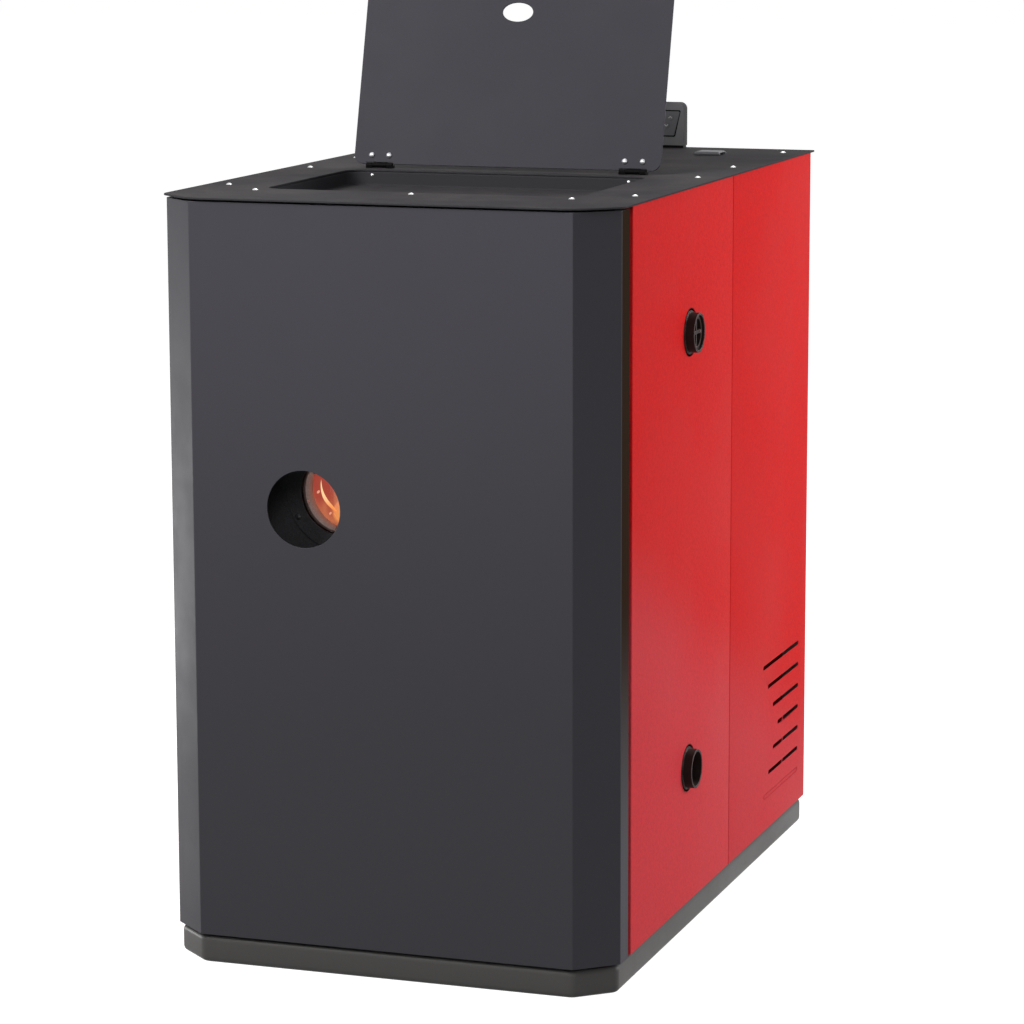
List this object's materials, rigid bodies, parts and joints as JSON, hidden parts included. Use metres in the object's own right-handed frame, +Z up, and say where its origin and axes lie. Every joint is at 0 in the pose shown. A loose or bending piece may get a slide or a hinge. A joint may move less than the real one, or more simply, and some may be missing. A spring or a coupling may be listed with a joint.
{
  "type": "pellet boiler",
  "caption": "Upright pellet boiler with a chamfered folded front door, a round view hole, a warming pan under a hinged lid, side pipe sockets, a screw-fed hopper and a rear console.",
  "frame": {"origin": "on the floor under the middle of the casing, which runs from the door face to the rear panel", "axes": "+X to the side with the pipe sockets, -Y out of the front door, +Z up"},
  "size_m": [0.719, 1.165, 1.5419],
  "materials": {
    "door_paint": "fine anthracite powder coat",
    "plate_paint": "dark grey powder coat",
    "red_paint": "red powder coat with a fine texture",
    "plinth_paint": "dark grey powder coat",
    "black_paint": "black, satin",
    "zinc_sheet": "zinc coated sheet",
    "boiler_steel": "welded plate, oiled grey",
    "screw_steel": "bright zinc",
    "cast": "rough black",
    "glass_clear": "ceramic glass, slightly sooted",
    "rope_fibre": "glass fibre rope",
    "board_fibre": "mineral fibre board",
    "lining_board": "pressed vermiculite",
    "motor_paint": "grey, semi-matt",
    "pipe_black": "black primer",
    "grey_plastic": "light grey",
    "black_plastic": "black",
    "facia_plastic": "dark grey, fine grain",
    "window_plastic": "clear black",
    "switch_plastic": "translucent red"
  },
  "bodies": {
    "casing": {"plinth": "plinth_paint", "base_plate": "black_paint", "front_frame": "plate_paint", "chassis": "zinc_sheet", "right_front_panel": "red_paint", "right_rear_panel": "red_paint", "left_front_panel": "red_paint", "left_rear_panel": "red_paint", "rear_panel": "red_paint", "top_plate": "plate_paint", "warming_pan": "plate_paint", "screws": "screw_steel", "lid_hinge_blocks": "black_paint", "door_hinges": "zinc_sheet", "door_magnets": "black_plastic", "fire_door_fittings": "zinc_sheet", "boiler_body": "boiler_steel", "insulation": "board_fibre", "firebox_lining": "lining_board", "burner_pot": "cast", "igniter": "screw_steel", "exchanger_tubes": "boiler_steel", "turbulators": "boiler_steel", "exchanger_cover": "boiler_steel", "flue_pipe": "black_paint", "flow_socket": "pipe_black", "return_socket": "pipe_black", "flow_plug": "pipe_black", "hopper": "zinc_sheet", "hopper_hinge_blocks": "black_paint", "auger_tube": "boiler_steel", "gear_motor": "motor_paint", "blower_housing": "zinc_sheet", "blower_motor": "motor_paint", "control_box": "grey_plastic", "mains_inlet": "black_plastic", "console": "plate_paint", "console_foot": "black_plastic", "facia": "facia_plastic", "display_window": "window_plastic", "cable_cover": "plate_paint"},
    "lid": {"pan_lid": "door_paint", "lid_hinge_leaves": "black_paint", "lid_bolts": "screw_steel"},
    "front_door": {"front_door": "door_paint", "door_frame": "zinc_sheet"},
    "fire_door": {"fire_door": "cast", "sight_glass": "glass_clear", "glass_ring": "cast", "door_rope": "rope_fibre", "fire_door_knob": "boiler_steel"},
    "ash_drawer": {"ash_drawer": "boiler_steel"},
    "feed_auger": {"feed_auger": "boiler_steel"},
    "blower_impeller": {"blower_impeller": "zinc_sheet"},
    "hopper_lid": {"hopper_lid": "plate_paint"},
    "mains_switch": {"mains_switch": "switch_plastic"},
    "key_menu": {"key_menu": "facia_plastic"},
    "key_back": {"key_back": "facia_plastic"},
    "key_up": {"key_up": "facia_plastic"},
    "key_down": {"key_down": "facia_plastic"}
  },
  "joints": [
    {"name": "lid_hinge", "type": "hinge", "parent": "casing", "child": "lid", "pos_m": [0, 0.003, 1.1545], "axis": [1, 0, 0], "range_deg": [0, 105]},
    {"name": "front_door_hinge", "type": "hinge", "parent": "casing", "child": "front_door", "pos_m": [-0.345, -0.4575, 0.6], "axis": [0, 0, -1], "range_deg": [0, 100]},
    {"name": "fire_door_hinge", "type": "hinge", "parent": "casing", "child": "fire_door", "pos_m": [-0.298, -0.4295, 0.7], "axis": [0, 0, -1], "range_deg": [0, 90]},
    {"name": "ash_drawer_slide", "type": "slide", "parent": "casing", "child": "ash_drawer", "axis": [0, -1, 0], "range_m": [0, 0.3]},
    {"name": "hopper_lid_hinge", "type": "hinge", "parent": "casing", "child": "hopper_lid", "pos_m": [0, 0.3895, 1.154], "axis": [-1, 0, 0], "range_deg": [0, 95]},
    {"name": "feed_auger_spin", "type": "hinge", "parent": "casing", "child": "feed_auger", "pos_m": [-0.119, 0.2, 0.42], "axis": [0, 1, 0], "continuous": true},
    {"name": "blower_spin", "type": "hinge", "parent": "casing", "child": "blower_impeller", "pos_m": [-0.19, 0.3335, 0.225], "axis": [1, 0, 0], "continuous": true},
    {"name": "mains_switch_rock", "type": "hinge", "parent": "casing", "child": "mains_switch", "pos_m": [0.21, 0.546, 0.454], "axis": [-1, 0, 0], "range_deg": [0, 16]},
    {"name": "key_menu_press", "type": "slide", "parent": "casing", "child": "key_menu", "axis": [0, 1, 0], "range_m": [0, 0.0008], "stiffness_N_per_m": 400},
    {"name": "key_back_press", "type": "slide", "parent": "casing", "child": "key_back", "axis": [0, 1, 0], "range_m": [0, 0.0008], "stiffness_N_per_m": 400},
    {"name": "key_up_press", "type": "slide", "parent": "casing", "child": "key_up", "axis": [0, 1, 0], "range_m": [0, 0.0008], "stiffness_N_per_m": 400},
    {"name": "key_down_press", "type": "slide", "parent": "casing", "child": "key_down", "axis": [0, 1, 0], "range_m": [0, 0.0008], "stiffness_N_per_m": 400}
  ],
  "couplings": [
    {"joint": "fire_door_hinge", "follows": "front_door_hinge", "ratio": 0.9},
    {"joint": "ash_drawer_slide", "follows": "front_door_hinge", "m_per_rad": 0.171}
  ]
}
